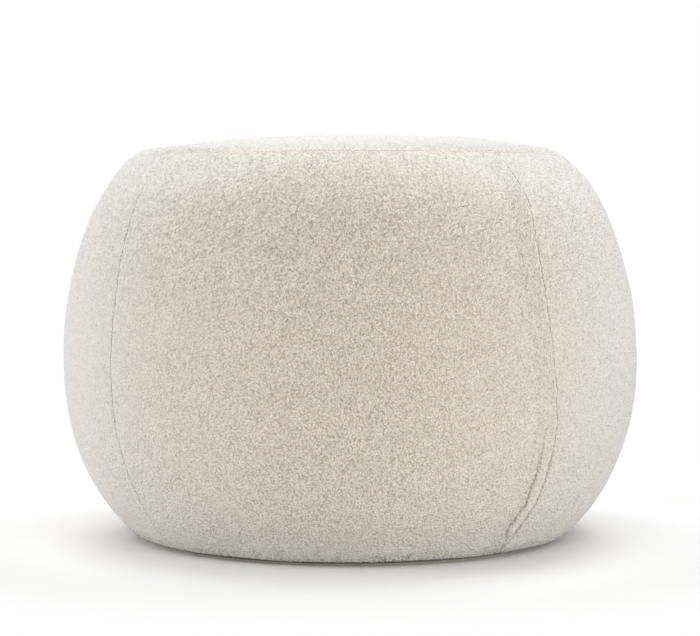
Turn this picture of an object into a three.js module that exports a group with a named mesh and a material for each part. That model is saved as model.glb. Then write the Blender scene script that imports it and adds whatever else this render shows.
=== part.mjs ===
// A round ottoman of looped-pile cloth: four side panels and a crowned top panel sewn over a firm filling,
// closed by a flat base panel. Each panel's solid is the panel with the filling behind it.
// Millimetres, +Z up. The origin is the centre of the underside, and the front panel faces -Y.
import * as THREE from "three";

// Driving dimensions
const WIDEST_RADIUS = 260;
const WIDEST_HEIGHT = 156;
const RIM_HEIGHT = 341;
const CROWN_RISE = 15;
const BASE_THICKNESS = 3;
const GAP = 0.3;

// The sides follow two arcs of ellipses that meet at the widest height: each one's half width and half height
const FOOT_ARC = { across: 122, up: 175 };
const SHOULDER_ARC = { across: 107, up: 201 };

// Fullness of the crown's outline: 2 is an ellipse, and more is flatter with a rounder edge
const CROWN_FULLNESS = 2.2;

// The cloth is drawn in along the upright seams, and the draw fades where they meet the ring seams
const SEAM_DEPTH = 3;
const SEAM_HALF_WIDTH = 14;
const SEAM_FADE = 12;

// The front panel's turned edge, lapped over the lower part of the seam on its right
const LAP_RISE = 3;
const LAP_WIDTH = 10;
const LAP_HEIGHT = 150;
const LAP_FADE = 40;

// Facets
const PANEL_ANGLE = Math.PI / 2;
const EDGE_STEPS_DEG = [0, 1, 2, 3.5, 6];
const INNER_START_DEG = 10;
const INNER_STEP_DEG = 5;
const HEIGHT_STEPS = 28;
const CROWN_STEPS = 11;
const ROUND_STEPS = 72;

const coverCloth = { color: 0xdcd5c8, roughness: 0.95, metalness: 0 };
const baseCloth = { color: 0xc9c0b0, roughness: 0.9, metalness: 0 };

const radians = THREE.MathUtils.degToRad;
const clamp = THREE.MathUtils.clamp;

// The point of a side arc at a turn, above or below the widest height.
function arcPoint(arc, turn, side) {
  return {
    radius: WIDEST_RADIUS - arc.across * (1 - Math.cos(turn)),
    height: WIDEST_HEIGHT + side * arc.up * Math.sin(turn),
  };
}

const RIM_TURN = Math.asin((RIM_HEIGHT - WIDEST_HEIGHT) / SHOULDER_ARC.up);
const RIM_RADIUS = arcPoint(SHOULDER_ARC, RIM_TURN, 1).radius;

// The turn at which the foot arc passes a height.
function footTurn(height) {
  return Math.asin((WIDEST_HEIGHT - height) / FOOT_ARC.up);
}

// A side panel's outline at a level, from 0 at its lower edge to 1 at the rim.
function sidePoint(level) {
  if (level < 0.5) {
    return arcPoint(FOOT_ARC, (1 - 2 * level) * footTurn(BASE_THICKNESS + GAP), -1);
  }
  return arcPoint(SHOULDER_ARC, (2 * level - 1) * RIM_TURN, 1);
}

// How far the cloth is drawn in or lapped out at a distance along the cloth from the seams beside it.
function seamRelief(height, fromLeft, fromRight, lapped) {
  const seam = Math.min(fromLeft, fromRight);
  const fade = clamp(Math.min(height - BASE_THICKNESS - GAP, RIM_HEIGHT - height) / SEAM_FADE, 0, 1);
  const draw = SEAM_DEPTH * clamp(1 - seam / SEAM_HALF_WIDTH, 0, 1) ** 2;
  if (!lapped || fromRight > LAP_WIDTH) {
    return -draw * fade;
  }
  const taper = clamp((LAP_HEIGHT - height) / LAP_FADE, 0, 1);
  const lap = LAP_RISE * taper * Math.sin((Math.PI * fromRight) / LAP_WIDTH);
  return (lap - draw) * fade;
}

// The angles, from one seam to the next, at which a side panel has corners: close together beside the seams.
function panelAngles() {
  const edge = EDGE_STEPS_DEG.map(radians);
  const inner = [];
  for (let step = radians(INNER_START_DEG); step < PANEL_ANGLE / 2; step += radians(INNER_STEP_DEG)) {
    inner.push(step);
  }
  const half = [...edge, ...inner];
  const mirrored = half.map((angle) => PANEL_ANGLE - angle).reverse();
  return [...half, PANEL_ANGLE / 2, ...mirrored];
}

// A quarter of the filled round, from the axis out to the cloth, turned about the axis to its place.
function sidePanel({ name, turnDeg, lapped }) {
  const outline = new THREE.Shape();
  outline.moveTo(0, 0);
  for (const angle of panelAngles()) {
    outline.lineTo(Math.cos(angle), Math.sin(angle));
  }
  outline.closePath();
  const geometry = new THREE.ExtrudeGeometry(outline, { depth: 1, steps: HEIGHT_STEPS, bevelEnabled: false });
  const corners = geometry.attributes.position;
  for (let i = 0; i < corners.count; i += 1) {
    const x = corners.getX(i);
    const y = corners.getY(i);
    const angle = Math.atan2(y, x);
    const onCloth = Math.round(Math.hypot(x, y));
    const { radius, height } = sidePoint(corners.getZ(i));
    const relief = seamRelief(height, radius * angle, radius * (PANEL_ANGLE - angle), lapped);
    const reach = (radius + relief) * onCloth;
    const placedX = Math.max(reach * Math.cos(angle), GAP / 2);
    const placedY = Math.max(reach * Math.sin(angle), GAP / 2);
    corners.setXYZ(i, placedX, placedY, height);
  }
  geometry.computeVertexNormals();
  const panel = new THREE.Mesh(geometry, new THREE.MeshStandardMaterial(coverCloth));
  panel.name = name;
  panel.rotation.z = radians(turnDeg);
  return panel;
}

// A solid of revolution whose outline starts and ends on the axis; LatheGeometry turns about Y, so it is stood up.
function turned(outline) {
  const geometry = new THREE.LatheGeometry(outline, ROUND_STEPS);
  geometry.rotateX(Math.PI / 2);
  return geometry;
}

// The crowned top with the filling under its crown, as far down as the ring seam.
function topPanel() {
  const floor = RIM_HEIGHT + GAP;
  const power = 2 / CROWN_FULLNESS;
  const outline = [new THREE.Vector2(0, floor)];
  for (let i = 0; i < CROWN_STEPS; i += 1) {
    const turn = (i / CROWN_STEPS) * (Math.PI / 2);
    const radius = RIM_RADIUS * Math.cos(turn) ** power;
    outline.push(new THREE.Vector2(radius, floor + (CROWN_RISE - GAP) * Math.sin(turn) ** power));
  }
  outline.push(new THREE.Vector2(0, RIM_HEIGHT + CROWN_RISE));
  const panel = new THREE.Mesh(turned(outline), new THREE.MeshStandardMaterial(coverCloth));
  panel.name = "top_panel";
  return panel;
}

// The flat panel that the ottoman stands on; its edge turns up to meet the side panels.
function basePanel() {
  const outline = [
    new THREE.Vector2(0, 0),
    new THREE.Vector2(arcPoint(FOOT_ARC, footTurn(0), -1).radius, 0),
    new THREE.Vector2(arcPoint(FOOT_ARC, footTurn(BASE_THICKNESS), -1).radius, BASE_THICKNESS),
    new THREE.Vector2(0, BASE_THICKNESS),
  ];
  const panel = new THREE.Mesh(turned(outline), new THREE.MeshStandardMaterial(baseCloth));
  panel.name = "base_panel";
  return panel;
}

const SIDE_PANELS = [
  { name: "side_panel_front", turnDeg: -135, lapped: true },
  { name: "side_panel_right", turnDeg: -45, lapped: false },
  { name: "side_panel_back", turnDeg: 45, lapped: false },
  { name: "side_panel_left", turnDeg: 135, lapped: false },
];

const ottoman = new THREE.Group();
ottoman.add(topPanel());
for (const panel of SIDE_PANELS) {
  ottoman.add(sidePanel(panel));
}
ottoman.add(basePanel());

export default ottoman;
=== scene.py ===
"""The looks of a round ottoman in curly looped-pile cloth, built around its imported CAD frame."""

import functools
import math

import bmesh
import bpy
import numpy as np
from mathutils import Matrix, Vector, noise


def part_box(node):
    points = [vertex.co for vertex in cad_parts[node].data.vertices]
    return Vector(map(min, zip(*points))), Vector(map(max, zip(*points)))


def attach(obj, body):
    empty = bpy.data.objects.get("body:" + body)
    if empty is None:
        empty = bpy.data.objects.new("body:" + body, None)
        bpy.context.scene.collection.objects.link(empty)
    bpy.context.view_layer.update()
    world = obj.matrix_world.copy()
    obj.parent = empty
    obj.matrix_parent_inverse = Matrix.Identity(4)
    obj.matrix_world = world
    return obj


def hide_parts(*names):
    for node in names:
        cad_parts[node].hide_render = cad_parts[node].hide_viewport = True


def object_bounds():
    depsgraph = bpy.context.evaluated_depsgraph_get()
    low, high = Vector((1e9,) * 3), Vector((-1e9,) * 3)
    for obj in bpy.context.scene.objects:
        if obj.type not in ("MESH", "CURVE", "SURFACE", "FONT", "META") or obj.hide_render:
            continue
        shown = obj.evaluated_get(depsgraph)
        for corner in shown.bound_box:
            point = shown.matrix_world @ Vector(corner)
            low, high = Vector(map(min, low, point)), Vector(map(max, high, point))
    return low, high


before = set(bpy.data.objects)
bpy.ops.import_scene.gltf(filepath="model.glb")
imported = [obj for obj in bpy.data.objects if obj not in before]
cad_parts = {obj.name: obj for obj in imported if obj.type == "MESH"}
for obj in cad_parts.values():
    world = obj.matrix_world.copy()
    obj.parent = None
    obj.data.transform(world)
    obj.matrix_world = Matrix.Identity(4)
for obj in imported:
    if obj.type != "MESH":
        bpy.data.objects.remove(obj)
CAD_LOW, CAD_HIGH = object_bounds()

bl_info = {
    "name": "Round ottoman",
    "version": (1, 0, 0),
    "blender": (4, 5, 0),
    "location": "View3D > Sidebar > Ottoman",
    "description": "Builds a round ottoman in curly looped-pile cloth",
    "category": "Add Mesh",
}

MM = 0.001
FULL_TURN = 2 * math.pi
QUARTER_TURN = math.pi / 2

WIDEST_RADIUS = (CAD_HIGH.x - CAD_LOW.x) / 2
RIM_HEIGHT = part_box("side_panel_front")[1].z
CROWN_HEIGHT = CAD_HIGH.z

# The upright seams: each one's bearing in degrees, then at SEAM_HEIGHTS in millimetres how far
# round it strays in degrees and how plainly it shows between the pile on its two sides, both as how
# deep the cloth turns in and as painted shade beside it
SEAM_HEIGHTS = (0, 14, 25, 36, 50, 75, 112, 142, 172, 222, 265, 300, 341)
SEAMS = {
    "front_left": (
        -135,
        (0.0, 0.0, 0.0, 0.0, 0.0, -0.3, -0.6, -0.6, -0.7, -0.9, -1.9, -2.8, -4.1),
        (0.2, 0.2, 0.2, 0.2, 0.2, 0.25, 0.2, 0.15, 0.2, 0.3, 0.3, 0.2, 0.1),
    ),
    "front_right": (
        -45,
        (-1.1, -0.6, -0.3, 0.5, 1.4, 1.4, 1.6, 0.6, -0.3, -1.2, -1.1, 0.3, -1.0),
        (1.5, 1.5, 1.5, 1.4, 1.2, 1.0, 0.5, 0.15, 0.1, 0.15, 0.3, 0.35, 0.2),
    ),
    "back_right": (
        45,
        (0.4, 0.4, 0.5, 0.4, 0.3, 0.2, 0.0, -0.4, -0.6, -0.3, 0.2, 0.6, 0.8),
        (0.4, 0.5, 0.5, 0.4, 0.3, 0.3, 0.2, 0.2, 0.3, 0.4, 0.4, 0.3, 0.2),
    ),
    "back_left": (
        135,
        (-0.5, -0.4, -0.2, 0.0, 0.3, 0.5, 0.6, 0.5, 0.1, -0.4, -0.7, -0.3, 0.5),
        (0.3, 0.3, 0.2, 0.2, 0.3, 0.4, 0.4, 0.3, 0.2, 0.3, 0.4, 0.4, 0.2),
    ),
}

# Each upright panel: its name, the node it stands for, its two seams, and whether its edge laps
# over the second
SIDE_PANELS = (
    ("cover_front", "side_panel_front", "front_left", "front_right", True),
    ("cover_right", "side_panel_right", "front_right", "back_right", False),
    ("cover_back", "side_panel_back", "back_right", "back_left", False),
    ("cover_left", "side_panel_left", "back_left", "front_left", False),
)


# ---------------------------------------------------------------- settings


def number_setting(name, description, default, **kind):
    """A setting that is a number, or one with a unit or subtype."""
    return bpy.props.FloatProperty(name=name, description=description, default=default, **kind)


def length_setting(name, description, default):
    """A setting that is a length in metres."""
    return number_setting(name, description, default, unit="LENGTH")


def colour_setting(name, description, default):
    """A setting that is a colour."""
    return bpy.props.FloatVectorProperty(
        name=name, description=description, default=default, size=3, subtype="COLOR"
    )


class OttomanForm(bpy.types.PropertyGroup):
    """Sizes of the filled cover."""

    widest_height: length_setting(
        "Widest height", "Height at which the sides bulge furthest", 0.156
    )
    foot_across: length_setting(
        "Foot arc width", "Half width of the ellipse below the widest height", 0.122
    )
    foot_up: length_setting(
        "Foot arc height", "Half height of the ellipse below the widest height", 0.175
    )
    shoulder_across: length_setting(
        "Shoulder arc width", "Half width of the ellipse above the widest height", 0.107
    )
    shoulder_up: length_setting(
        "Shoulder arc height", "Half height of the ellipse above the widest height", 0.201
    )
    crown_flatness: number_setting(
        "Crown flatness", "More keeps the middle of the top flatter", 2.4
    )
    crown_edge: number_setting(
        "Crown edge", "Share of the top's rise that is in its rounded edge", 0.35
    )
    crown_turn: number_setting("Crown turn", "More makes the rounded edge narrower", 25.0)
    swell: length_setting(
        "Swell", "How far the filling swells a panel between its seams", 0.003
    )
    seam_roll: length_setting(
        "Seam roll", "Radius at which the cloth turns in to a seam", 0.0028
    )
    lap_width: length_setting(
        "Lap width", "Width of the lapped edge beside the front right seam", 0.013
    )
    lap_height: length_setting(
        "Lap height", "Height at which the lapped edge has run out", 0.128
    )


class PileLook(bpy.types.PropertyGroup):
    """Sizes and colours of the looped pile, with the painted shade of its gaps and its painted
    sheen.
    """

    curl_size: length_setting("Curl size", "Width of one curl of the pile", 0.003)
    curl_height: length_setting(
        "Curl height", "How far the curls' tips stand out of the cloth", 0.0004
    )
    tuft_colour: colour_setting(
        "Tuft colour", "Colour of the tips of the pile", (0.838, 0.774, 0.671)
    )
    # The gap colour is painted shade between the curls, standing in for the shadow there
    gap_shade_colour: colour_setting("Gap colour", "Colour between the curls", (0.455, 0.4, 0.317))
    sheen_colour: colour_setting(
        "Sheen colour", "Colour of the tips seen from the side", (0.66, 0.65, 0.626)
    )
    base_colour: colour_setting(
        "Base colour", "Colour of the flat cloth underneath", (0.50, 0.45, 0.37)
    )


class StageLook(bpy.types.PropertyGroup):
    """Camera and light."""

    distance: length_setting("Distance", "From the ottoman's axis to the camera", 1.867)
    height: length_setting("Height", "Height of the camera", 0.285)
    bearing: number_setting(
        "Bearing",
        "How far round to the right the camera stands",
        math.radians(4.7),
        subtype="ANGLE",
    )
    tilt: number_setting(
        "Tilt", "How far down the camera looks", math.radians(2.787), subtype="ANGLE"
    )
    lens: number_setting("Lens", "Focal length in millimetres on a 36 mm sensor", 106.2)
    sky: number_setting("Sky", "Strength of the even light from all round", 0.72)


# ---------------------------------------------------------------- outline

# The cloth turns in under the foot, from this height, as far in as this, to this height over the
# floor
TUCK_TOP = 2.6 * MM
TUCK_IN = 8 * MM
TUCK_HEIGHT = 0.8 * MM

# The cloth's direction at a point is taken over this length of it to each side
DIRECTION_REACH = 1.5 * MM


def bend(share, start, middle, end):
    """A smooth way from start to end that leans towards middle."""
    return start * (1 - share) ** 2 + 2 * middle * share * (1 - share) + end * share**2


class Outline:
    """The cover's section by length along it: in under the foot, up the side to the rim, and over
    to the middle of the crown."""

    def __init__(self, form, points=600):
        turn_low = math.asin((form.widest_height - TUCK_TOP) / form.foot_up)
        turn_high = math.asin((RIM_HEIGHT - form.widest_height) / form.shoulder_up)
        low = np.linspace(turn_low, 0, points)
        high = np.linspace(0, turn_high, points)[1:]
        radius = np.concatenate([
            WIDEST_RADIUS - form.foot_across * (1 - np.cos(low)),
            WIDEST_RADIUS - form.shoulder_across * (1 - np.cos(high)),
        ])
        height = np.concatenate([
            form.widest_height - form.foot_up * np.sin(low),
            form.widest_height + form.shoulder_up * np.sin(high),
        ])
        share = np.linspace(0, 1, points)[:-1]
        tuck_radius = bend(share, radius[0] - TUCK_IN, radius[0] - TUCK_TOP, radius[0])
        tuck_height = bend(share, TUCK_HEIGHT, TUCK_HEIGHT, height[0])
        crown_radius = radius[-1] * (1 - np.linspace(0, 1, points)[1:] ** 2)
        out = crown_radius / radius[-1]
        flat_share = 1 - form.crown_edge
        drop = form.crown_edge * out**form.crown_turn + flat_share * out**form.crown_flatness
        crown_height = CROWN_HEIGHT - (CROWN_HEIGHT - RIM_HEIGHT) * drop
        self.radius = np.concatenate([tuck_radius, radius, crown_radius])
        self.height = np.concatenate([tuck_height, height, crown_height])
        steps = np.hypot(np.diff(self.radius), np.diff(self.height))
        self.length = np.concatenate([[0], np.cumsum(steps)])
        self.foot = self.length[points - 1]
        self.rim = self.length[3 * points - 3]
        self.end = self.length[-1]

    def at(self, length):
        """Radius, height and outward direction (across, up) at lengths along the section."""
        radius = np.interp(length, self.length, self.radius)
        height = np.interp(length, self.length, self.height)
        behind, ahead = length - DIRECTION_REACH, length + DIRECTION_REACH
        low, high = (np.interp(near, self.length, self.height) for near in (behind, ahead))
        outer, inner = (np.interp(near, self.length, self.radius) for near in (behind, ahead))
        across, up = high - low, outer - inner
        size = np.hypot(across, up)
        return radius, height, across / size, up / size


# ---------------------------------------------------------------- filling

LOFT_TURNS = 96
LOFT_ROWS_SIDE = 40
LOFT_ROWS_CROWN = 20
MERGE_DISTANCE = 0.01 * MM

# Cloth nearer to a seam than this is held, while the rest gives under this pressure for this many
# frames
HELD_REACH = 5 * MM
PRESSURE = 4
CLOTH_QUALITY = 6
CLOTH_FRAMES = 20


def make_filling(radius, height):
    """The whole cover as one cloth, spun from its section."""
    bm = bmesh.new()
    section = [bm.verts.new((0, 0, height[0]))]
    section += [bm.verts.new((r, 0, z)) for r, z in zip(radius[:-1], height[:-1])]
    section.append(bm.verts.new((0, 0, height[-1])))
    edges = [bm.edges.new(pair) for pair in zip(section, section[1:])]
    bmesh.ops.spin(
        bm,
        geom=section + edges,
        cent=(0, 0, 0),
        axis=(0, 0, 1),
        angle=FULL_TURN,
        steps=LOFT_TURNS,
        use_merge=True,
    )
    bmesh.ops.remove_doubles(bm, verts=bm.verts, dist=MERGE_DISTANCE)
    bmesh.ops.recalc_face_normals(bm, faces=bm.faces)
    mesh = bpy.data.meshes.new("filling")
    bm.to_mesh(mesh)
    bm.free()
    filling = bpy.data.objects.new("filling", mesh)
    bpy.context.scene.collection.objects.link(filling)
    return filling


def press_out(filling, held_corners):
    """How far each corner of the filling moves under pressure from within, as an array."""
    held = filling.vertex_groups.new(name="held")
    for index in held_corners:
        held.add([int(index)], 1.0, "REPLACE")
    cloth = filling.modifiers.new("cloth", "CLOTH")
    cloth.settings.use_pressure = True
    cloth.settings.uniform_pressure_force = PRESSURE
    cloth.settings.effector_weights.gravity = 0
    cloth.settings.vertex_group_mass = "held"
    cloth.settings.quality = CLOTH_QUALITY
    scene = bpy.context.scene
    for number in range(1, CLOTH_FRAMES + 1):
        scene.frame_set(number)
    done = filling.evaluated_get(bpy.context.evaluated_depsgraph_get())
    moved = corners_of(done.data) - corners_of(filling.data)
    scene.frame_set(1)
    return moved


@functools.lru_cache(maxsize=None)
def swelling():
    """How far the filling swells the cover: an array over length along the section and bearing, in
    metres. The whole cover is a cloth under pressure, held along its seams."""
    form = bpy.context.scene.ottoman_form
    outline = Outline(form)
    lengths = np.concatenate([
        np.linspace(0, outline.rim, LOFT_ROWS_SIDE),
        np.linspace(outline.rim, outline.end, LOFT_ROWS_CROWN)[1:],
    ])
    radius, height, across, up = outline.at(lengths)
    filling = make_filling(radius, height)
    x, y, z = corners_of(filling.data).T
    from_axis = np.hypot(x, y)
    bearing = np.arctan2(y, x)
    row = np.argmin(np.hypot(from_axis[:, None] - radius, z[:, None] - height), axis=1)
    length = lengths[row]
    turns_past = np.abs((bearing / QUARTER_TURN - 0.5) % 1.0)
    from_upright = np.minimum(turns_past, 1 - turns_past) * QUARTER_TURN * from_axis
    from_ring = np.abs(length - outline.rim)
    from_side_seam = np.minimum(np.minimum(from_upright, from_ring), length)
    from_seam = np.where(length < outline.rim, from_side_seam, from_ring)
    moved = press_out(filling, np.flatnonzero(from_seam < HELD_REACH))
    bpy.data.objects.remove(filling)
    outward = (across[row] * np.cos(bearing), across[row] * np.sin(bearing), up[row])
    swell = np.clip((moved * np.stack(outward, axis=1)).sum(1), 0, None)
    turn = np.round(bearing / FULL_TURN * LOFT_TURNS).astype(int) % LOFT_TURNS
    field = np.zeros((len(lengths), LOFT_TURNS))
    field[row, turn] = swell
    field[-1] = field[-2]
    # The crown swells alike all round, so the simulation's wrinkles there are evened out
    crown = lengths > outline.rim
    field[crown] = field[crown].mean(axis=1, keepdims=True)
    return lengths, field / field.max() * form.swell


def corners_of(mesh):
    """The mesh's corners as an array of points."""
    flat = np.empty(len(mesh.vertices) * 3)
    mesh.vertices.foreach_get("co", flat)
    return flat.reshape(-1, 3)


def swell_at(length, bearing):
    """The swelling at points of the cover, smoothly between the simulated ones."""
    lengths, field = swelling()
    row = np.interp(length, lengths, np.arange(len(lengths)))
    turn = (bearing / FULL_TURN * LOFT_TURNS) % LOFT_TURNS
    low_row = np.minimum(row.astype(int), len(lengths) - 2)
    low_turn = turn.astype(int) % LOFT_TURNS
    part_row, part_turn = row - low_row, turn - np.floor(turn)
    next_turn = (low_turn + 1) % LOFT_TURNS
    near, far = (
        field[line, low_turn] * (1 - part_turn) + field[line, next_turn] * part_turn
        for line in (low_row, low_row + 1)
    )
    return near * (1 - part_row) + far * part_row


# ---------------------------------------------------------------- cover

ROLL_STEPS = 4
PANEL_COLUMNS = 304
PANEL_ROWS = 300
TOP_STEPS = 296
SEAM_GAP = 0.3 * MM
LEAST_HEIGHT = 0.4 * MM

# How far from a seam painted shade reaches beside it, and how far the pile stands up beside a seam
# and at the foot
SEAM_SHADE_REACH = 1.3 * MM
PILE_BY_SEAM = 0.5
PILE_BY_FOOT = 1.2
FOOT_BAND = 16 * MM

# By height in millimetres: how far the painted shade in the gaps between the curls shows from the
# side, below 0 where the tips hide it sooner, which paints the crown and the very foot lighter and
# the low sides darker; and how strongly the painted sheen colour shows on the tips seen from the
# side
PILE_HEIGHTS = (0, 6, 22, 60, 130, 180, 230, 290, 325, 356)
GAP_SHADE_BY_HEIGHT = (-0.6, -0.6, 1.0, 0.8, 0.15, 0.15, 0.35, 0.35, -1.1, -1.1)
PAINTED_SHEEN_BY_HEIGHT = (1.0, 1.0, 0.9, 1.2, 1.4, 1.4, 1.4, 1.3, 1.9, 1.9)

# On the crown the pile looks the same at every height further than this from the ring seam
CROWN_BAND = 60 * MM

# The pile is fluffier above the widest part than on the lower sides
FLUFFY_FROM = (190 * MM, 280 * MM)
FLUFFY = 1.5

# An upright seam wanders by the sum of these, each a distance and how long its waves are
SEAM_WAVES = ((0.6 * MM, 24 * MM), (1.1 * MM, 4.5 * MM))

# How long the stretches are where the pile leaves a seam bare, how sharply they end, and how much
# shows between them
BARE_PITCH = 8 * MM
BARE_ENDS = (-0.3, 0.3)
HIDDEN_SEAM = 0.3

# How plainly the ring seam shows between the pile on its two sides, as how deep the cloth turns in
# there, which is also painted as shade, by bearing in degrees
RIM_BEARINGS = (-180, -100, -92, -58, -48, 40, 60, 110, 130, 180)
RIM_SHOWS = (0.03, 0.03, 0.2, 0.2, 0.03, 0.03, 0.15, 0.15, 0.03, 0.03)
RIM_SAMPLES = 2400
RIM_SHARE = 0.75
RIM_LIP = 0.35 * MM
RIM_LIP_REACH = 3 * MM

# The lapped edge: how far it stands out, the crease behind it, the heights over which each comes
# in above the foot, how its width varies, how round it is and how much flatter its pile lies
LAP_RISE = 1.6 * MM
LAP_CREASE = 2.6 * MM
LAP_CREASE_HALF = 1.2 * MM
LAP_FOOT = (4 * MM, 30 * MM)
LAP_CREASE_FOOT = (8 * MM, 26 * MM)
LAP_WAVES = (4.5 * MM, 15 * MM)
LAP_UNEVEN = 0.9 * MM
LAP_LEAST = 0.3 * MM
LAP_ROUNDNESS = 0.6
LAP_FLAT_PILE = 0.55

# Places where the pile has parted: bearing, height, length in millimetres, and degrees round for
# each millimetre up
PARTINGS = (
    (-111.0, 162.0, 50.0, -0.034),
    (-77.6, 97.0, 15.0, 0.0),
    (-55.9, 70.0, 14.0, -0.11),
    (-113.1, 40.8, 3.0, 0.0),
    (58.0, 205.0, 42.0, 0.03),
    (152.0, 120.0, 30.0, -0.04),
    (-8.0, 90.0, 24.0, 0.05),
)
PARTING_DEPTH = 0.5 * MM
PARTING_HALF = 1.6 * MM
# Share of painted shade in the middle of a parting, standing in for the shadow in it
PARTING_SHADE = 0.35

# Soft places where the filling stands out or gives: bearing, then in millimetres the radius, the
# height, how far it reaches and how far it moves
BULGES = (
    (-167.3, 195.0, 341.0, 26.0, 1.8),
    (-3.3, 235.0, 255.0, 40.0, -0.8),
    (-3.3, 195.0, 338.0, 20.0, -1.6),
    (-17.0, 133.0, 351.0, 45.0, 1.8),
    (-160.0, 117.0, 352.0, 45.0, -0.9),
    (60.0, 250.0, 190.0, 70.0, 1.2),
    (110.0, 245.0, 120.0, 60.0, -1.2),
)

# The cloth's broad unevenness
SAG_SIZE = 70 * MM
SAG_DEPTH = 0.8 * MM

# How the curls' rough heights are softened, and what is taken off so that they stay even: each a
# share for a point and for each of its neighbours. Then how high the tips are beside the gaps'
# depth, and the limits of both
CURL_SOFTENING = (0.94, 0.03)
CURL_EVENING = (0.34, 0.33)
TIP_HEIGHT = 0.6
CURL_LIMITS = (-2.2, 1.4)

# Behind the cloth: how far its edge is turned in, as a share of the way left to the middle, and
# how far each panel's filling closes off the middle, towards its panel
EDGE_KEPT = 0.97
SIDE_CORE_OUT = 3 * MM
TOP_CORE_UP = 4 * MM


def smooth_step(low, high, value):
    """0 below low, 1 above high, and a smooth rise between."""
    share = np.clip((value - low) / (high - low), 0, 1)
    return share * share * (3 - 2 * share)


def roll_rows(roll):
    """Distance from the seam and depth of the rows of cloth that turn in to a seam."""
    turns = np.arange(ROLL_STEPS) / ROLL_STEPS * QUARTER_TURN
    return roll * (1 - np.cos(turns)), roll * (1 - np.sin(turns))


def finish_cloth(name, mesh):
    """Makes a smooth piece from its mesh."""
    piece = bpy.data.objects.new(name, mesh)
    bpy.context.scene.collection.objects.link(piece)
    mesh.shade_smooth()
    return piece


def cloth_grid(name, columns, rows, size):
    """A flat square of cloth: its mesh, its corners, and each corner's column and row."""
    bm = bmesh.new()
    bmesh.ops.create_grid(bm, x_segments=columns, y_segments=rows, size=size)
    mesh = bpy.data.meshes.new(name)
    bm.to_mesh(mesh)
    bm.free()
    flat = corners_of(mesh)
    across = (flat[:, 0] / size + 1) / 2
    along = (flat[:, 1] / size + 1) / 2
    column = np.round(across * columns).astype(int)
    row = np.round(along * rows).astype(int)
    return mesh, flat, column, row


def wander(along, start, pitch):
    """A smooth wandering between -1 and 1 along a seam, another one for each start."""
    return np.array([noise.noise(Vector((a / pitch, 7.3 * start, 0.5))) for a in along])


def eased(value, places, amounts):
    """The amount at a value, passing smoothly from each place's amount to the next."""
    places, amounts = np.array(places), np.array(amounts)
    step = np.clip(np.searchsorted(places, value, side="right") - 1, 0, len(places) - 2)
    share = smooth_step(0, 1, (value - places[step]) / (places[step + 1] - places[step]))
    return amounts[step] * (1 - share) + amounts[step + 1] * share


def seam_bearing(seam, lengths, height, radius):
    """The bearing of an upright seam at lengths along the section."""
    degrees, strays, _ = SEAMS[seam]
    line = math.radians(degrees) + np.radians(eased(height / MM, SEAM_HEIGHTS, strays))
    broad, fine = (
        size * wander(lengths, degrees + 9 * number, pitch)
        for number, (size, pitch) in enumerate(SEAM_WAVES)
    )
    return line + (broad + fine) / radius


def broken(along, start):
    """Where the pile on both sides leaves a seam bare: 1 there, and little where it covers it."""
    bare = smooth_step(*BARE_ENDS, wander(along, start, BARE_PITCH))
    return HIDDEN_SEAM + (1 - HIDDEN_SEAM) * bare


def seam_shows(seam, lengths, height):
    """How deep the cloth turns in along an upright seam, as a share of its roll."""
    degrees, _, shows = SEAMS[seam]
    bare = eased(height / MM, SEAM_HEIGHTS, shows)
    return bare * np.maximum(broken(lengths, degrees + 40), bare)


def pile_depth(height):
    """How deep the pile is at heights, as a share of its depth on the lower sides."""
    return 1 + (FLUFFY - 1) * smooth_step(*FLUFFY_FROM, height)


def store_pile(piece, tufts, painted_crease_shade, height, edge=1):
    """Stores how the pile lies at each point, with its painted shade in creases and seams, how much
    painted gap shade shows from the side and its painted sheen, for its material. Edge is 0 where
    height makes no difference."""
    store(piece, "curl_height", tufts)
    store(piece, "painted_crease_shade", np.clip(painted_crease_shade, 0, 1))
    store(piece, "gap_shade_shows", eased(height / MM, PILE_HEIGHTS, GAP_SHADE_BY_HEIGHT) * edge)
    store(piece, "painted_sheen", 1 + (eased(height / MM, PILE_HEIGHTS, PAINTED_SHEEN_BY_HEIGHT) - 1) * edge)


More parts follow.
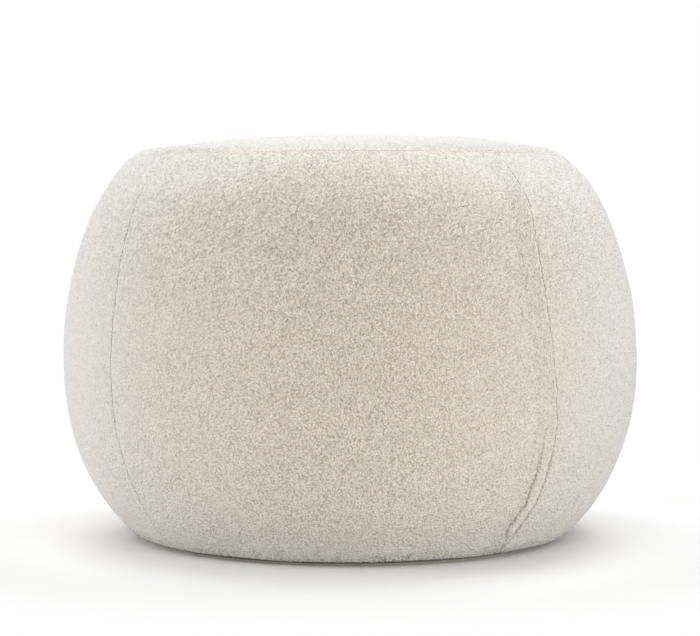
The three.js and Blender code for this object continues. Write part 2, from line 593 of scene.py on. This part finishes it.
def side_panel(name, seams, lapped):
    """One upright panel: a grid of cloth laid on the outline, rolled in at its seams and closed
    behind."""
    form = bpy.context.scene.ottoman_form
    roll = form.seam_roll
    outline = Outline(form)
    mesh, _, column, row = cloth_grid(name, PANEL_COLUMNS, PANEL_ROWS, 0.5)
    near, sunk = roll_rows(roll)

    lengths = np.linspace(0, outline.rim - roll, PANEL_ROWS - ROLL_STEPS + 1)
    rim_depth = np.concatenate([np.zeros(len(lengths)), sunk[::-1]])[row]
    lengths = np.concatenate([lengths, (outline.rim - near)[::-1]])
    row_radius, row_height = outline.at(lengths)[:2]
    length = lengths[row]
    radius, height, across, up = outline.at(length)

    inner = np.linspace(0, 1, PANEL_COLUMNS - 2 * ROLL_STEPS + 1)
    if lapped:
        inner = np.interp(inner, (0, 0.9, 1), (0, 0.95, 1))
    share = np.concatenate([np.zeros(ROLL_STEPS), inner, np.ones(ROLL_STEPS)])[column]
    edge = np.concatenate([near, np.full(len(inner), roll), near[::-1]])[column] + SEAM_GAP
    first, last = (seam_bearing(seam, lengths, row_height, row_radius)[row] for seam in seams)
    last = last + FULL_TURN * (last < first)
    bearing = (first + edge / radius) * (1 - share) + (last - edge / radius) * share
    from_first, from_last = radius * (bearing - first), radius * (last - bearing)
    first_shows, last_shows = (seam_shows(seam, lengths, row_height)[row] for seam in seams)
    seam_depth = np.concatenate([sunk, np.zeros(len(inner)), sunk[::-1]])[column]
    seam_depth = seam_depth * np.where(column < PANEL_COLUMNS / 2, first_shows, last_shows)
    depth = np.maximum(seam_depth, rim_depth * rim_shows(bearing))

    even_turn = math.radians(SEAMS[seams[0]][0]) + QUARTER_TURN * share
    out = swell_at(length, even_turn) - form.swell - depth + rim_lip(outline.rim - length)
    part = parting_at(radius, height, bearing)
    out -= PARTING_DEPTH * part
    # Painted shade in the cloth's colour where it turns in at a seam, beside the upright seams and
    # in partings
    painted_crease_shade = np.maximum.reduce([
        depth / roll,
        first_shows * np.clip(1 - from_first / SEAM_SHADE_REACH, 0, 1),
        last_shows * np.clip(1 - from_last / SEAM_SHADE_REACH, 0, 1),
        PARTING_SHADE * part,
    ])
    by_foot = 1 - smooth_step(0, FOOT_BAND, height - TUCK_TOP)
    held = smooth_step(-0.5 * outline.foot, outline.foot, length)
    held = held * np.where(depth > 0, PILE_BY_SEAM, 1) * (1 + PILE_BY_FOOT * by_foot)
    if lapped:
        rise, crease, flat_pile = lap_shape(length, height, from_last)
        out += rise
        # The crease behind the lapped edge is painted darker as shade
        painted_crease_shade = np.maximum(painted_crease_shade, crease)
        held = held * (1 - LAP_FLAT_PILE * flat_pile)
    tufts = tufts_of(name, column, row) * held * pile_depth(height)
    place = lay_cloth(radius, height, across, up, bearing, out, tufts)
    mesh.vertices.foreach_set("co", place.ravel())
    middle = even_turn.mean()
    towards = Vector((math.cos(middle), math.sin(middle), 0))
    piece = close_behind(name, mesh, towards * SIDE_CORE_OUT)
    store_pile(piece, tufts, painted_crease_shade, height)
    return piece


def lay_cloth(radius, height, across, up, bearing, out, tufts):
    """Places of points of cloth that stand out from the outline, with their pile and the cloth's
    unevenness."""
    flat = np.stack([radius * np.cos(bearing), radius * np.sin(bearing), height], axis=1)
    normal = np.stack([across * np.cos(bearing), across * np.sin(bearing), up], axis=1)
    out = out + tufts * bpy.context.scene.pile_look.curl_height
    out = out + SAG_DEPTH * sag(flat) + bulge_at(flat)
    place = flat + normal * out[:, None]
    place[:, 2] = np.maximum(place[:, 2], CAD_LOW.z + LEAST_HEIGHT)
    return place


def rim_shows(bearing):
    """How deep the cloth turns in along the ring seam at bearings."""
    turns = np.linspace(-math.pi, 3 * math.pi, RIM_SAMPLES)
    bare = broken(WIDEST_RADIUS * RIM_SHARE * (turns % FULL_TURN), 3) - HIDDEN_SEAM
    shows = np.interp((np.degrees(turns) + 180) % 360 - 180, RIM_BEARINGS, RIM_SHOWS)
    return np.interp(bearing, turns, bare * shows)


def rim_lip(from_seam):
    """How far the pile on one side of the ring seam stands out over it, and on the other side
    draws back under it."""
    return RIM_LIP * (1 - smooth_step(0, RIM_LIP_REACH, from_seam))


def lap_tall(height):
    """1 where the lapped edge is whole, down to 0 above it."""
    form = bpy.context.scene.ottoman_form
    return 1 - smooth_step(0.5 * form.lap_height, form.lap_height, height)


def lap_shape(length, height, from_seam):
    """The lapped edge beside the seam: its rise, the painted shade for the crease behind it, and
    where the pile lies flat."""
    form = bpy.context.scene.ottoman_form
    rows = np.unique(length)
    fine, broad = (wander(rows, 5 + number, wave) for number, wave in enumerate(LAP_WAVES))
    uneven = np.interp(length, rows, fine) + np.interp(length, rows, broad)
    width = form.lap_width * smooth_step(*LAP_FOOT, height)
    width = np.maximum(width + LAP_UNEVEN * uneven, LAP_LEAST)
    tall = lap_tall(height)
    inside = from_seam < width
    band = np.clip(np.sin(math.pi * np.clip(from_seam / width, 0, 1)), 0, 1) ** LAP_ROUNDNESS
    crease = np.clip(1 - np.abs(from_seam - width) / LAP_CREASE_HALF, 0, 1)
    crease = crease * smooth_step(*LAP_CREASE_FOOT, height)
    rise = tall * (LAP_RISE * band * inside - LAP_CREASE * crease)
    return rise, tall * crease, tall * inside


def parting_at(radius, height, bearing):
    """1 in the middle of a parting of the pile, 0 away from them all."""
    part = np.zeros(np.shape(height))
    for degrees, level, long, slant in PARTINGS:
        rise = height / MM - level
        turn = (bearing - np.radians(degrees + slant * rise) + math.pi) % FULL_TURN - math.pi
        across = np.abs(turn * radius) / PARTING_HALF
        ends = 1 - smooth_step(0.3 * long, 0.5 * long, np.abs(rise))
        part = np.maximum(part, ends * np.clip(1 - across, 0, 1))
    return part


def bulge_at(place):
    """The filling's unevenness at places on the cover, in metres."""
    out = np.zeros(len(place))
    for degrees, radius, height, reach, rise in BULGES:
        turn = math.radians(degrees)
        middle = np.array((radius * math.cos(turn), radius * math.sin(turn), height)) * MM
        away = np.linalg.norm(place - middle, axis=1) / (reach * MM)
        out += rise * MM * np.exp(-(away**2))
    return out


def close_behind(name, mesh, off_axis):
    """Makes the piece: the cloth's edge turned in, and the filling behind it closed at the middle
    of the ottoman."""
    bm = bmesh.new()
    bm.from_mesh(mesh)
    core = Vector((0, 0, CROWN_HEIGHT / 2)) + off_axis
    rim = [e for e in bm.edges if e.is_boundary]
    for keep in (EDGE_KEPT, 0):
        turned = bmesh.ops.extrude_edge_only(bm, edges=rim)["geom"]
        rim = [e for e in turned if isinstance(e, bmesh.types.BMEdge)]
        inner = [v for v in turned if isinstance(v, bmesh.types.BMVert)]
        draw_in = Matrix.Translation(core) @ Matrix.Scale(keep, 4) @ Matrix.Translation(-core)
        if keep:
            bmesh.ops.transform(bm, matrix=draw_in, verts=inner)
        else:
            bmesh.ops.pointmerge(bm, verts=inner, merge_co=core)
    bmesh.ops.recalc_face_normals(bm, faces=bm.faces)
    bm.to_mesh(mesh)
    bm.free()
    return finish_cloth(name, mesh)


def blurred(field, weights):
    """A field of heights softened along both of its ways, with weights for a point and for each of
    its neighbours."""
    middle, beside = weights
    for axis in (0, 1):
        ends = [(1, 1) if a == axis else (0, 0) for a in (0, 1)]
        wide = np.pad(field, ends, mode="reflect")
        size = field.shape[axis]
        before, here, after = (np.take(wide, range(k, k + size), axis) for k in (0, 1, 2))
        field = beside * before + middle * here + beside * after
    return field


def curls(shape, seed):
    """Heights of the curls over a grid of cloth, about -2 in the gaps to 1 on the tips, and no
    broader unevenness."""
    rough = np.random.default_rng(seed).standard_normal(shape)
    near = blurred(rough, CURL_SOFTENING)
    fine = near - blurred(near, CURL_EVENING)
    fine = fine / fine.std()
    return np.clip(np.where(fine > 0, TIP_HEIGHT * fine, fine), *CURL_LIMITS)


def tufts_of(name, column, row):
    """The curls of the named piece at each corner of its grid."""
    return curls((row.max() + 1, column.max() + 1), sum(map(ord, name)))[row, column]


def sag(place):
    """The cloth's broad unevenness at places on it, between -1 and 1."""
    return np.array([noise.noise(Vector(p) / SAG_SIZE) for p in place.tolist()])


def store(piece, name, amounts):
    """Stores an amount at each point of the cloth, for its material."""
    values = np.zeros(len(piece.data.vertices))
    values[: len(amounts)] = amounts
    piece.data.attributes.new(name, "FLOAT", "POINT").data.foreach_set("value", values)


def top_panel(name):
    """The crowned top: a square grid rounded into a disc, laid on the crown and rolled in at the
    ring seam."""
    form = bpy.context.scene.ottoman_form
    roll = form.seam_roll
    outline = Outline(form)
    mesh, flat, row, column = cloth_grid(name, TOP_STEPS, TOP_STEPS, 1)
    x = flat[:, 0] * np.sqrt(1 - flat[:, 1] ** 2 / 2)
    y = flat[:, 1] * np.sqrt(1 - flat[:, 0] ** 2 / 2)
    bearing = np.arctan2(y, x)
    near = (1 - np.minimum(np.hypot(x, y), 1)) * (outline.end - outline.rim)
    length = outline.rim + near
    radius, height, across, up = outline.at(length)
    left = np.clip(roll - near, 0, roll)
    depth = (roll - np.sqrt(roll**2 - left**2)) * rim_shows(bearing)
    out = swell_at(length, bearing) - form.swell - depth - rim_lip(near)
    held = np.where(left > 0, PILE_BY_SEAM, 1)
    tufts = tufts_of(name, column, row) * held * pile_depth(height)
    place = lay_cloth(radius, height + SEAM_GAP, across, up, bearing, out, tufts)
    mesh.vertices.foreach_set("co", place.ravel())
    piece = close_behind(name, mesh, Vector((0, 0, TOP_CORE_UP)))
    # The ring seam's turn-in is stored as painted shade
    store_pile(piece, tufts, depth / roll, height, 1 - smooth_step(0, CROWN_BAND, near))
    return piece


# The base: how thick it is, how far its edge keeps inside the cover's, and the rings of its hem
# and its middle, each with how far in it is set and how far it lifts what is inside it
BASE_CLOTH = 1.6 * MM
BASE_EDGE_IN = 1 * MM
BASE_SIDES = 128
BASE_RINGS = (
    (0.8 * MM, 0),
    (5.0 * MM, 0),
    (1.0 * MM, 0.6 * MM),
    (50.0 * MM, 0),
    (60.0 * MM, 0),
)


def largest_face(bm):
    """The face that covers the most."""
    return max(bm.faces, key=lambda f: f.calc_area())


def base_panel(name):
    """The flat cloth underneath, hemmed at its edge."""
    outline = Outline(bpy.context.scene.ottoman_form)
    bm = bmesh.new()
    edge = outline.radius[0] - BASE_EDGE_IN
    bmesh.ops.create_circle(bm, cap_ends=True, cap_tris=False, segments=BASE_SIDES, radius=edge)
    for inward, lift in BASE_RINGS:
        middle = [largest_face(bm)]
        bmesh.ops.inset_region(bm, faces=middle, thickness=inward, use_even_offset=True)
        bmesh.ops.translate(bm, vec=(0, 0, lift), verts=largest_face(bm).verts)
    bmesh.ops.recalc_face_normals(bm, faces=bm.faces)
    bmesh.ops.solidify(bm, geom=list(bm.faces), thickness=BASE_CLOTH)
    bmesh.ops.recalc_face_normals(bm, faces=bm.faces)
    floor = min(v.co.z for v in bm.verts)
    bmesh.ops.translate(bm, vec=(0, 0, CAD_LOW.z - floor), verts=bm.verts)
    mesh = bpy.data.meshes.new(name)
    bm.to_mesh(mesh)
    bm.free()
    return finish_cloth(name, mesh)


# ---------------------------------------------------------------- materials


class Wire:
    """A value in a material. Python's arithmetic on it adds Math nodes."""

    def __init__(self, tree, socket):
        self.tree = tree
        self.socket = socket

    def math(self, operation, *values):
        return node(self.tree, "ShaderNodeMath", {"operation": operation}, list(values))

    def __add__(self, other):
        return self.math("ADD", self, other)

    __radd__ = __add__

    def __sub__(self, other):
        return self.math("SUBTRACT", self, other)

    def __rsub__(self, other):
        return self.math("SUBTRACT", other, self)

    def __mul__(self, other):
        return self.math("MULTIPLY", self, other)

    __rmul__ = __mul__

    def __pow__(self, other):
        return self.math("POWER", self, other)

    def __rpow__(self, other):
        return self.math("POWER", other, self)


def node(tree, kind, settings, inputs, output=0):
    """Makes a node with its settings, then gives its sockets their values or wires; returns one
    output."""
    made = tree.nodes.new(kind)
    for setting, value in settings.items():
        setattr(made, setting, value)
    pairs = inputs.items() if isinstance(inputs, dict) else enumerate(inputs)
    for slot, value in pairs:
        socket = made.inputs[slot]
        if isinstance(value, Wire):
            tree.links.new(value.socket, socket)
        else:
            socket.default_value = value
    return Wire(tree, made.outputs[output]) if made.outputs else None


def mixed(tree, share, low, high):
    """A colour between two: low where share is 0, and high where it is 1."""
    return node(tree, "ShaderNodeMix", {"data_type": "RGBA"}, {0: share, 6: low, 7: high}, 2)


def clamped_product(tree, one, other):
    """Two values multiplied and kept between 0 and 1."""
    return node(tree, "ShaderNodeMath", {"operation": "MULTIPLY", "use_clamp": True}, [one, other])


def attribute(tree, name):
    """An amount stored at the points of the cloth."""
    return node(tree, "ShaderNodeAttribute", {"attribute_name": name}, [], "Fac")


def object_place(tree):
    """A point's place on the object."""
    return node(tree, "ShaderNodeTexCoord", {}, [], "Object")


def new_material(name):
    """An empty material and its node tree."""
    material = bpy.data.materials.get(name) or bpy.data.materials.new(name)
    material.use_nodes = True
    material.node_tree.nodes.clear()
    return material, material.node_tree


# The curls are rounded cells with strands over them, and both drift a little out of line. Numbers
# to a curl's width, then how far the drift goes as a share of it
DRIFTS_PER_CURL = 0.8
STRANDS_PER_CURL = 2.4
CELLS_PER_CURL = 1.6
DRIFT = 0.3

# How much the strands and the cells stand out, how round the cells are, and how far all is lifted
STRAND_RELIEF = 0.5
CELL_RELIEF = 1.35
CELL_ROUNDNESS = 1.5
RELIEF_LIFT = 0.1

# How much painted shade the cloth's own curls give, lighter where they stand out, and how much
# painted shade in creases, seams and partings darkens it, and between which heights of the relief
# the colour goes from the gaps' painted shade to the tips'
CURL_SHADE = 0.05
PAINTED_CREASE_SHADE = 0.6
GAP_TO_TIP = (0.3, 1.13)

# Seen from the side the tips hide the gaps, so their painted shade fades, the tips take on a
# painted sheen colour, and the relief stands out less
TIPS_HIDE_GAPS = 1.2
SHEEN_EDGE = 2.0
BUMP_FACING = 0.95
BUMP_LOST = 0.55
BUMP_HEIGHT = 1.2 * MM


def cover_cloth():
    """Curly cream pile: matt tufts with painted shade in the gaps between the curls, and a soft
    sheen at grazing angles, partly real and partly a painted sheen colour."""
    ready = bpy.data.materials.get("cover_cloth_pile")
    if ready:
        return ready
    look = bpy.context.scene.pile_look
    material, tree = new_material("cover_cloth_pile")
    place = object_place(tree)
    curl_height, painted_crease_shade, gap_shade_shows, painted_sheen = (
        attribute(tree, name) for name in ("curl_height", "painted_crease_shade", "gap_shade_shows", "painted_sheen")
    )
    per_curl = 1 / look.curl_size
    noise_at = {"Vector": place, "Scale": DRIFTS_PER_CURL * per_curl, "Detail": 1.0}
    drift = node(tree, "ShaderNodeTexNoise", {}, noise_at, "Color")
    centred = node(
        tree, "ShaderNodeVectorMath", {"operation": "SUBTRACT"}, [drift, (0.5, 0.5, 0.5)]
    )
    reach = {0: centred, "Scale": DRIFT * look.curl_size}
    shift = node(tree, "ShaderNodeVectorMath", {"operation": "SCALE"}, reach)
    bent = node(tree, "ShaderNodeVectorMath", {"operation": "ADD"}, [place, shift])
    strands_at = {"Vector": bent, "Scale": STRANDS_PER_CURL * per_curl, "Detail": 1.0}
    strand = 2 * node(tree, "ShaderNodeTexNoise", {}, strands_at) - 0.5
    cells_at = {"Vector": bent, "Scale": CELLS_PER_CURL * per_curl}
    cell = node(tree, "ShaderNodeTexVoronoi", {"feature": "F1"}, cells_at, "Distance")
    relief = STRAND_RELIEF * strand + CELL_RELIEF * (1 - cell) ** CELL_ROUNDNESS + RELIEF_LIFT
    # Painted shade: lighter on the curls that stand out, darker in creases, seams and partings
    lit = relief + CURL_SHADE * curl_height - PAINTED_CREASE_SHADE * painted_crease_shade
    from_min, from_max = GAP_TO_TIP
    shade_range = {"Value": lit, "From Min": from_min, "From Max": from_max}
    shade = node(tree, "ShaderNodeMapRange", {}, shade_range)
    grazing = node(tree, "ShaderNodeLayerWeight", {}, {"Blend": 0.5}, "Facing")
    # Painted light by facing: seen from the side the gaps' painted shade fades towards the tips'
    # colour
    hidden = clamped_product(tree, grazing, TIPS_HIDE_GAPS * (1 - gap_shade_shows))
    tips = shade + (1 - shade) * hidden
    pile = mixed(tree, tips, (*look.gap_shade_colour, 1), (*look.tuft_colour, 1))
    # Painted sheen: the sheen colour mixed over the tips seen from the side, most on the crown
    sheen_share = clamped_product(tree, grazing**SHEEN_EDGE, painted_sheen)
    colour = mixed(tree, sheen_share, pile, (*look.sheen_colour, 1))
    strength = BUMP_FACING - BUMP_LOST * grazing
    bump = node(
        tree,
        "ShaderNodeBump",
        {},
        {"Strength": strength, "Distance": BUMP_HEIGHT, "Height": relief},
    )
    shader = node(
        tree,
        "ShaderNodeBsdfPrincipled",
        {},
        {
            "Base Color": colour,
            "Roughness": 0.95,
            "Specular IOR Level": 0.15,
            "Sheen Weight": 0.2,
            "Sheen Roughness": 0.5,
            "Normal": bump,
        },
    )
    node(tree, "ShaderNodeOutputMaterial", {}, [shader])
    return material


WEAVE_SCALE = 160.0
WEAVE_SHADE = 0.7


def base_cloth():
    """Plain close weave for the underside."""
    look = bpy.context.scene.pile_look
    material, tree = new_material("base_cloth_weave")
    bands = {"Vector": object_place(tree), "Scale": WEAVE_SCALE, "Distortion": 0.4}
    warp, weft = (
        node(tree, "ShaderNodeTexWave", {"bands_direction": way}, bands) for way in ("X", "Y")
    )
    weave = warp * weft
    shade = tuple(WEAVE_SHADE * c for c in look.base_colour)
    colour = mixed(tree, weave, (*shade, 1), (*look.base_colour, 1))
    bump = node(
        tree, "ShaderNodeBump", {}, {"Strength": 0.5, "Distance": 0.4 * MM, "Height": weave}
    )
    shader = node(
        tree,
        "ShaderNodeBsdfPrincipled",
        {},
        {"Base Color": colour, "Roughness": 0.9, "Specular IOR Level": 0.2, "Normal": bump},
    )
    node(tree, "ShaderNodeOutputMaterial", {}, [shader])
    return material


# ---------------------------------------------------------------- stage

FLOOR_RADIUS = 9.0
FLOOR_DROP = 0.2 * MM

# By distance from the ottoman's axis: where the floor goes from its near colour to its far one, the
# near one paler and cool as painted light that lifts the ottoman's shadow and takes the warmth of
# the light bounced off the cloth out of it, though the paler floor also really throws more light
# back; and where it goes over to plain white for the camera
FLOOR_COLOURS_LIFTING_SHADOW = ((0.94, 0.95, 0.97, 1), (0.72, 0.72, 0.72, 1))
FLOOR_TURNS = (0.2, 0.4)
FLOOR_WHITENS = (0.3, 0.52)
WHITE = (1, 1, 1, 1)


def beyond(tree, value, low, high):
    """0 where a value is below low, 1 above high, and a smooth rise between."""
    smooth = {"interpolation_type": "SMOOTHSTEP"}
    return node(
        tree, "ShaderNodeMapRange", smooth, {"Value": value, "From Min": low, "From Max": high}
    )


def floor_material():
    """White floor that keeps the shadow near the ottoman, though paler there as painted light that
    lifts it, and is plain white to the camera further out."""
    material, tree = new_material("floor_white")
    away = node(
        tree, "ShaderNodeVectorMath", {"operation": "LENGTH"}, [object_place(tree)], "Value"
    )
    seen = node(tree, "ShaderNodeLightPath", {}, [], "Is Camera Ray")
    albedo = mixed(tree, beyond(tree, away, *FLOOR_TURNS), *FLOOR_COLOURS_LIFTING_SHADOW)
    matt = node(tree, "ShaderNodeBsdfDiffuse", {}, {"Color": albedo})
    white = node(tree, "ShaderNodeEmission", {}, {"Color": WHITE, "Strength": 1.0})
    whitened = seen * beyond(tree, away, *FLOOR_WHITENS)
    both = node(tree, "ShaderNodeMixShader", {}, {0: whitened, 1: matt, 2: white})
    node(tree, "ShaderNodeOutputMaterial", {}, [both])
    return material


def white_world(strength):
    """Even light from all round, and plain white where the camera or a reflection sees past the
    floor."""
    world = bpy.data.worlds.new("white")
    bpy.context.scene.world = world
    world.use_nodes = True
    tree = world.node_tree
    tree.nodes.clear()
    camera, glossy, through = (
        node(tree, "ShaderNodeLightPath", {}, [], way)
        for way in ("Is Camera Ray", "Is Glossy Ray", "Is Transmission Ray")
    )
    light = node(tree, "ShaderNodeBackground", {}, {"Color": WHITE, "Strength": strength})
    white = node(tree, "ShaderNodeBackground", {}, {"Color": WHITE, "Strength": 1.0})
    both = node(tree, "ShaderNodeMixShader", {}, {0: camera + glossy + through, 1: light, 2: white})
    node(tree, "ShaderNodeOutputWorld", {}, [both])


# Each square soft box: its name, its place and its power
LAMPS = (
    ("front_right_box", (1.41, -1.68, 0.52), 14.0),
    ("left_box", (-2.16, -0.38, 0.52), 16.2),
    ("overhead_box", (0.0, 0.0, 2.37), 12.4),
    ("high_right_box", (0.79, 0.66, 2.11), 14.4),
    ("high_left_box", (-0.79, 0.66, 2.11), 11.2),
)
LAMP_SIZE = 1.0
LAMP_AIM = Vector((0, 0, 0.17))


def aim(thing, place, target):
    """Puts a lamp or camera at a place, looking at a target."""
    thing.location = place
    thing.rotation_mode = "QUATERNION"
    thing.rotation_quaternion = (Vector(target) - Vector(place)).to_track_quat("-Z", "Y")


def make_lamp(name, place, power):
    """A soft box aimed at the ottoman."""
    lamp = bpy.data.lights.new(name, "AREA")
    lamp.size = LAMP_SIZE
    lamp.energy = power
    thing = bpy.data.objects.new(name, lamp)
    bpy.context.scene.collection.objects.link(thing)
    aim(thing, place, LAMP_AIM)


def make_camera(look):
    """A long lens a little to the right of the front panel's middle, just above half height."""
    camera = bpy.data.cameras.new("camera")
    camera.lens = look.lens
    camera.sensor_width = 36
    camera.clip_start = 0.05
    thing = bpy.data.objects.new("camera", camera)
    bpy.context.scene.collection.objects.link(thing)
    across, back = look.distance * math.sin(look.bearing), look.distance * math.cos(look.bearing)
    target = (0, 0, look.height - look.distance * math.tan(look.tilt))
    aim(thing, (across, -back, look.height), target)
    bpy.context.scene.camera = thing


def make_floor():
    """A wide round floor, just under the ottoman."""
    bm = bmesh.new()
    bmesh.ops.create_circle(bm, cap_ends=True, segments=64, radius=FLOOR_RADIUS)
    bmesh.ops.translate(bm, vec=(0, 0, CAD_LOW.z - FLOOR_DROP), verts=bm.verts)
    mesh = bpy.data.meshes.new("floor")
    bm.to_mesh(mesh)
    bm.free()
    floor = bpy.data.objects.new("floor", mesh)
    bpy.context.scene.collection.objects.link(floor)
    mesh.materials.append(floor_material())


# ---------------------------------------------------------------- operators


def declare(piece, cad_node):
    """Hangs the piece on the root body and hides the CAD part that it stands for."""
    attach(piece, "root")
    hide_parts(cad_node)


class OTTOMAN_OT_side_panels(bpy.types.Operator):
    """Makes the four upright panels of the cover."""

    bl_idname = "ottoman.side_panels"
    bl_label = "Side panels"

    def execute(self, context):
        for name, cad_node, first_seam, last_seam, lapped in SIDE_PANELS:
            piece = side_panel(name, (first_seam, last_seam), lapped)
            piece.data.materials.append(cover_cloth())
            declare(piece, cad_node)
        return {"FINISHED"}


class OTTOMAN_OT_top_panel(bpy.types.Operator):
    """Makes the crowned top panel of the cover."""

    bl_idname = "ottoman.top_panel"
    bl_label = "Top panel"

    def execute(self, context):
        piece = top_panel("cover_top")
        piece.data.materials.append(cover_cloth())
        declare(piece, "top_panel")
        return {"FINISHED"}


class OTTOMAN_OT_base_panel(bpy.types.Operator):
    """Makes the flat panel underneath."""

    bl_idname = "ottoman.base_panel"
    bl_label = "Base panel"

    def execute(self, context):
        piece = base_panel("cover_base")
        piece.data.materials.append(base_cloth())
        declare(piece, "base_panel")
        return {"FINISHED"}


class OTTOMAN_OT_stage(bpy.types.Operator):
    """Makes the floor, the light and the camera."""

    bl_idname = "ottoman.stage"
    bl_label = "Stage"

    def execute(self, context):
        look = context.scene.stage_look
        context.scene.view_settings.view_transform = "Standard"
        make_camera(look)
        make_floor()
        white_world(look.sky)
        for lamp in LAMPS:
            make_lamp(*lamp)
        return {"FINISHED"}


class OTTOMAN_PT_panel(bpy.types.Panel):
    """Lists the ottoman's settings and steps."""

    bl_idname = "OTTOMAN_PT_panel"
    bl_label = "Ottoman"
    bl_space_type = "VIEW_3D"
    bl_region_type = "UI"
    bl_category = "Ottoman"

    def draw(self, context):
        scene = context.scene
        for group in (scene.ottoman_form, scene.pile_look, scene.stage_look):
            box = self.layout.box()
            for name in group.bl_rna.properties.keys():
                if name not in ("rna_type", "name"):
                    box.prop(group, name)
        for operator in OPERATORS:
            self.layout.operator(operator.bl_idname)


OPERATORS = (OTTOMAN_OT_stage, OTTOMAN_OT_side_panels, OTTOMAN_OT_top_panel, OTTOMAN_OT_base_panel)
GROUPS = (("ottoman_form", OttomanForm), ("pile_look", PileLook), ("stage_look", StageLook))


def register():
    for name, group in GROUPS:
        bpy.utils.register_class(group)
        setattr(bpy.types.Scene, name, bpy.props.PointerProperty(type=group))
    for operator in OPERATORS:
        bpy.utils.register_class(operator)
    bpy.utils.register_class(OTTOMAN_PT_panel)


def unregister():
    bpy.utils.unregister_class(OTTOMAN_PT_panel)
    for operator in reversed(OPERATORS):
        bpy.utils.unregister_class(operator)
    for name, group in reversed(GROUPS):
        delattr(bpy.types.Scene, name)
        bpy.utils.unregister_class(group)


def main():
    register()
    bpy.ops.ottoman.stage()
    bpy.ops.ottoman.side_panels()
    bpy.ops.ottoman.top_panel()
    bpy.ops.ottoman.base_panel()


if __name__ == "__main__":
    main()
